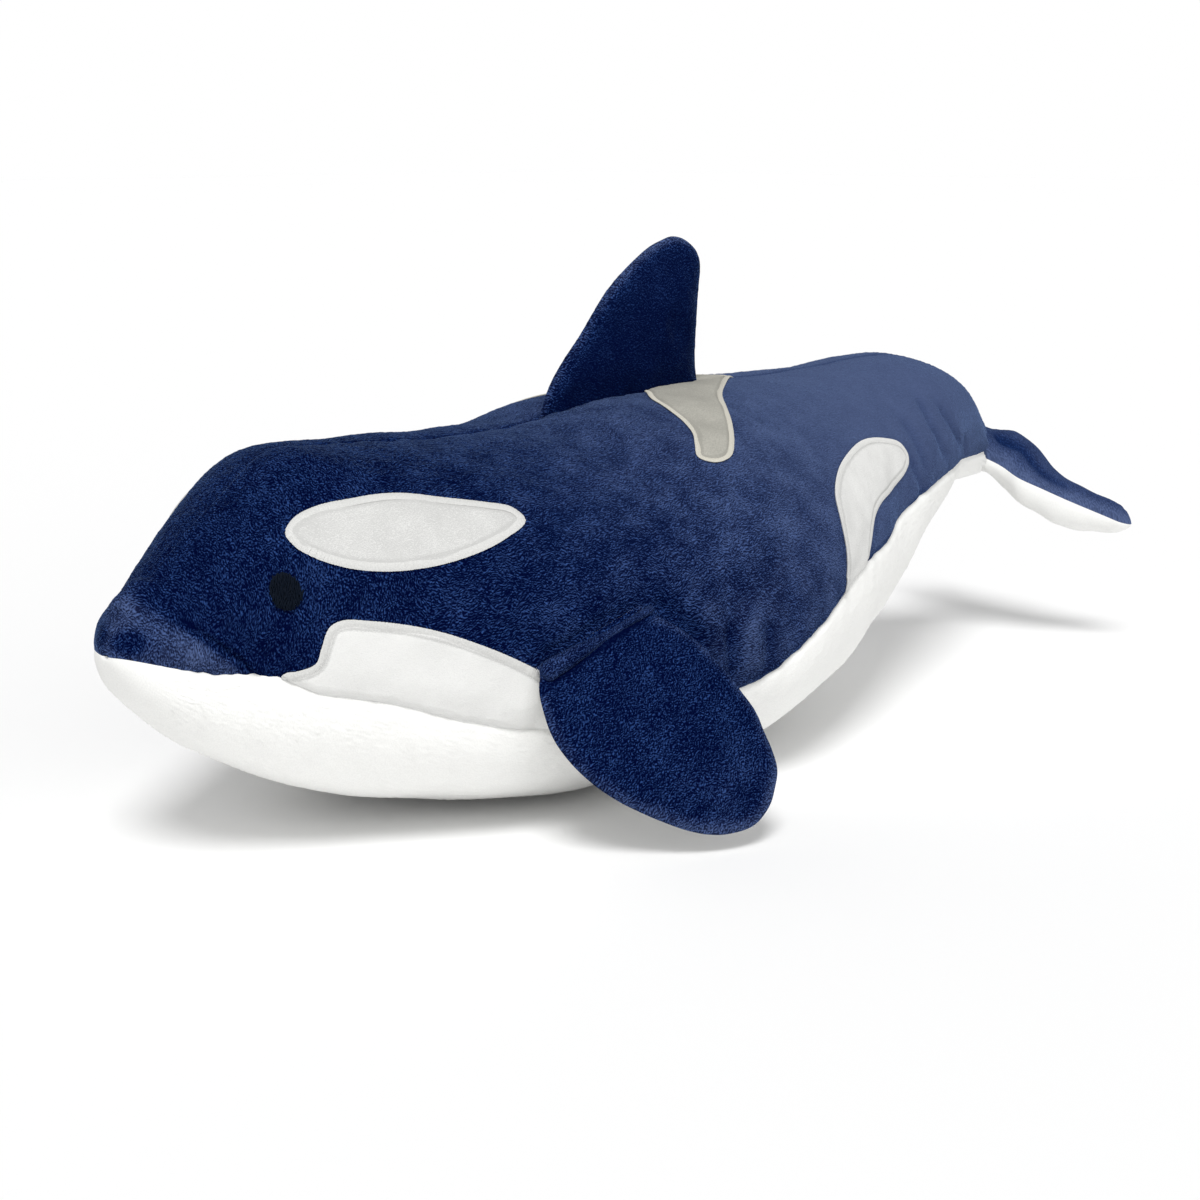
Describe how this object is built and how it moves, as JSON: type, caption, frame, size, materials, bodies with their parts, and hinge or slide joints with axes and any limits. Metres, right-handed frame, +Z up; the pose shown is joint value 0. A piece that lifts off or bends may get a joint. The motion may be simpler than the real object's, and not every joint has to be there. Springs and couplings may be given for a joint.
{
  "type": "plush whale",
  "caption": "Stuffed toy whale lying on its belly, with a back fin, side fins and tail flukes that bend at sewn roots.",
  "frame": {"origin": "on the surface that the belly rests on, under the middle of the object's length and width", "axes": "+X from the snout to the tail, +Y to the whale's right, +Z up"},
  "size_m": [0.4846, 0.2396, 0.1826],
  "materials": {
    "navy_plush": "short brushed pile, dark navy with a lighter sheen at grazing angles",
    "white_plush": "short brushed pile, warm white",
    "grey_plush": "short brushed pile, warm grey",
    "eye_thread": "satin embroidery thread, near black",
    "filling": "loose polyester fibre filling"
  },
  "bodies": {
    "trunk": {"body_stuffing": "filling", "belly_panel": "white_plush", "side_panel_left": "navy_plush", "side_panel_right": "navy_plush", "eye_patch_left": "white_plush", "eye_patch_right": "white_plush", "cheek_patch_left": "white_plush", "cheek_patch_right": "white_plush", "flank_patch_left": "white_plush", "flank_patch_right": "white_plush", "saddle_patch_left": "grey_plush", "saddle_patch_right": "grey_plush", "eye_left": "eye_thread", "eye_right": "eye_thread"},
    "back_fin": {"back_fin_panel_left": "navy_plush", "back_fin_panel_right": "navy_plush", "back_fin_stuffing": "filling", "back_fin_root_hem": "navy_plush"},
    "side_fin_left": {"side_fin_left_upper_panel": "navy_plush", "side_fin_left_lower_panel": "white_plush", "side_fin_left_stuffing": "filling", "side_fin_left_root_hem": "navy_plush"},
    "side_fin_right": {"side_fin_right_upper_panel": "navy_plush", "side_fin_right_lower_panel": "white_plush", "side_fin_right_stuffing": "filling", "side_fin_right_root_hem": "navy_plush"},
    "flukes": {"fluke_upper_panel": "navy_plush", "fluke_lower_panel": "white_plush", "fluke_stuffing": "filling", "fluke_root_hem": "navy_plush"}
  },
  "joints": [
    {"name": "back_fin_sway", "type": "hinge", "parent": "trunk", "child": "back_fin", "pos_m": [-0.06375, 0, 0.12342], "axis": [0.9975, 0, 0.0701], "range_deg": [-25, 25], "stiffness_Nm_per_rad": 0.06},
    {"name": "side_fin_left_flap", "type": "hinge", "parent": "trunk", "child": "side_fin_left", "pos_m": [-0.13728, -0.07524, 0.05787], "axis": [-0.9196, 0.1729, -0.3527], "range_deg": [-5, 75], "stiffness_Nm_per_rad": 0.05},
    {"name": "side_fin_right_flap", "type": "hinge", "parent": "trunk", "child": "side_fin_right", "pos_m": [-0.13728, 0.07524, 0.05787], "axis": [0.9196, 0.1729, 0.3527], "range_deg": [-5, 75], "stiffness_Nm_per_rad": 0.05},
    {"name": "fluke_flex", "type": "hinge", "parent": "trunk", "child": "flukes", "pos_m": [0.20318, 0, 0.08464], "axis": [0, 1, 0], "range_deg": [-25, 25], "stiffness_Nm_per_rad": 0.06}
  ]
}
